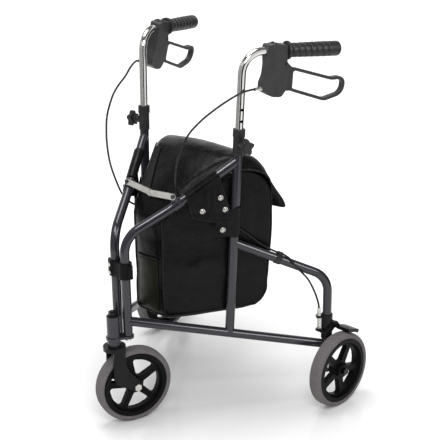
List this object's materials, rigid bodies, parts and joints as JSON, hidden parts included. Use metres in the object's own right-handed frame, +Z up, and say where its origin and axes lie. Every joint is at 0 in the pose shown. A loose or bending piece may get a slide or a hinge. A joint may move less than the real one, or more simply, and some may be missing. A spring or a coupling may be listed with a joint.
{
  "type": "three wheel rollator",
  "caption": "Folding walker on wheels with a swivelling front caster, hand-braked rear wheels, height-set handles and a bag slung between its side frames.",
  "frame": {"origin": "on the ground, under the middle of the bounding box", "axes": "+Z up, +Y to the rear where the user walks, +X to the user's left"},
  "size_m": [0.6948, 0.5895, 0.9144],
  "materials": {
    "frame_paint": "semi-gloss powder coat, dark slate",
    "black_plastic": "moulded, satin black",
    "black_steel": "painted black",
    "chrome": "bright plated tube",
    "zinc": "zinc plated",
    "grip": "matte moulded grip",
    "tyre_grey": "warm grey, matte",
    "rim": "moulded, dark grey",
    "bag_vinyl": "coated woven cloth, black",
    "cable": "smooth black sheath"
  },
  "bodies": {
    "right_frame": {"right_main_tube": "frame_paint", "right_post": "frame_paint", "right_bottom_tube": "frame_paint", "right_rear_leg": "frame_paint", "right_post_collar": "black_plastic", "right_cable_clip": "black_plastic", "right_brake_bracket": "black_steel", "right_brake_adjuster": "zinc", "right_rear_axle": "zinc", "right_brace_lug": "zinc", "right_bag_flap": "bag_vinyl", "right_brake_cable": "cable", "right_brake_spring": "zinc", "head_sleeve": "frame_paint", "head_bushes": "black_plastic", "hinge_clamp": "black_plastic", "hinge_bolts": "zinc", "bag_body": "bag_vinyl", "bag_lid": "bag_vinyl", "bag_strap": "bag_vinyl"},
    "left_frame": {"left_main_tube": "frame_paint", "left_post": "frame_paint", "left_bottom_tube": "frame_paint", "left_rear_leg": "frame_paint", "left_post_collar": "black_plastic", "left_cable_clip": "black_plastic", "left_brake_bracket": "black_steel", "left_brake_adjuster": "zinc", "left_rear_axle": "zinc", "left_brace_lug": "zinc", "left_bag_flap": "bag_vinyl", "left_brake_cable": "cable", "left_brake_spring": "zinc"},
    "caster": {"fork": "black_steel", "caster_stem": "black_steel", "front_axle": "zinc"},
    "front_wheel": {"front_tyre": "tyre_grey", "front_rim": "rim"},
    "left_wheel": {"left_rear_tyre": "tyre_grey", "left_rear_rim": "rim"},
    "left_handle": {"left_handle_tube": "chrome", "left_grip": "grip", "left_brake_housing": "black_plastic", "left_housing_screws": "zinc", "left_cable_adjuster": "zinc"},
    "left_knob": {"left_knob": "black_plastic"},
    "left_lever": {"left_brake_lever": "black_plastic"},
    "left_arm": {"left_brake_arm": "black_steel"},
    "left_link": {"left_brace_link": "zinc"},
    "right_wheel": {"right_rear_tyre": "tyre_grey", "right_rear_rim": "rim"},
    "right_handle": {"right_handle_tube": "chrome", "right_grip": "grip", "right_brake_housing": "black_plastic", "right_housing_screws": "zinc", "right_cable_adjuster": "zinc"},
    "right_knob": {"right_knob": "black_plastic"},
    "right_lever": {"right_brake_lever": "black_plastic"},
    "right_arm": {"right_brake_arm": "black_steel"},
    "right_link": {"right_brace_link": "zinc"}
  },
  "joints": [
    {"name": "fold", "type": "hinge", "parent": "right_frame", "child": "left_frame", "pos_m": [0.018, -0.21511, 0.3], "axis": [0, 0, 1], "range_deg": [0, 46], "deforming": ["bag_body", "bag_lid", "bag_strap"]},
    {"name": "caster_swivel", "type": "hinge", "parent": "right_frame", "child": "caster", "pos_m": [0, -0.24411, 0.245], "axis": [0, 0, 1], "continuous": true},
    {"name": "front_wheel_spin", "type": "hinge", "parent": "caster", "child": "front_wheel", "pos_m": [0.01278, -0.20097, 0.095], "axis": [0.9588, -0.284, 0], "continuous": true},
    {"name": "left_wheel_spin", "type": "hinge", "parent": "left_frame", "child": "left_wheel", "pos_m": [0.32235, 0.19984, 0.095], "axis": [1, 0, 0], "continuous": true},
    {"name": "left_handle_height", "type": "slide", "parent": "left_frame", "child": "left_handle", "axis": [0.0291, 0.0456, 0.9985], "range_m": [-0.081, 0.054], "deforming": ["left_brake_cable"]},
    {"name": "left_knob_turn", "type": "hinge", "parent": "left_frame", "child": "left_knob", "pos_m": [0.18795, 0.00704, 0.67992], "axis": [0.961, -0.276, -0.0154], "continuous": true},
    {"name": "left_lever_pull", "type": "hinge", "parent": "left_handle", "child": "left_lever", "pos_m": [0.19856, 0.12487, 0.8545], "axis": [0.961, -0.276, -0.0154], "range_deg": [0, 16], "stiffness_Nm_per_rad": 1},
    {"name": "left_brake_swing", "type": "hinge", "parent": "left_frame", "child": "left_arm", "pos_m": [0.29935, 0.20584, 0.207], "axis": [-1, 0, 0], "range_deg": [0, 5], "deforming": ["left_brake_spring"]},
    {"name": "left_link_swing", "type": "hinge", "parent": "left_frame", "child": "left_link", "pos_m": [0.08355, -0.11672, 0.56625], "axis": [0, 1, 0], "range_deg": [0, 70]},
    {"name": "right_wheel_spin", "type": "hinge", "parent": "right_frame", "child": "right_wheel", "pos_m": [-0.32235, 0.19984, 0.095], "axis": [1, 0, 0], "continuous": true},
    {"name": "right_handle_height", "type": "slide", "parent": "right_frame", "child": "right_handle", "axis": [-0.0291, 0.0456, 0.9985], "range_m": [-0.081, 0.054], "deforming": ["right_brake_cable"]},
    {"name": "right_knob_turn", "type": "hinge", "parent": "right_frame", "child": "right_knob", "pos_m": [-0.18769, 0.0062, 0.67997], "axis": [-0.9509, -0.3093, -0.0135], "continuous": true},
    {"name": "right_lever_pull", "type": "hinge", "parent": "right_handle", "child": "right_lever", "pos_m": [-0.20815, 0.12231, 0.86298], "axis": [0.9372, 0.2896, -0.1941], "range_deg": [0, 16], "stiffness_Nm_per_rad": 1},
    {"name": "right_brake_swing", "type": "hinge", "parent": "right_frame", "child": "right_arm", "pos_m": [-0.29935, 0.20584, 0.207], "axis": [-1, 0, 0], "range_deg": [0, 5], "deforming": ["right_brake_spring"]},
    {"name": "right_link_swing", "type": "hinge", "parent": "right_frame", "child": "right_link", "pos_m": [-0.08355, -0.11672, 0.56625], "axis": [0, -1, 0], "range_deg": [0, 70]}
  ],
  "couplings": [
    {"joint": "left_link_swing", "follows": "fold", "ratio": 1.5},
    {"joint": "right_link_swing", "follows": "fold", "ratio": 1.5},
    {"joint": "left_brake_swing", "follows": "left_lever_pull", "ratio": 0.3125},
    {"joint": "right_brake_swing", "follows": "right_lever_pull", "ratio": 0.3125}
  ]
}
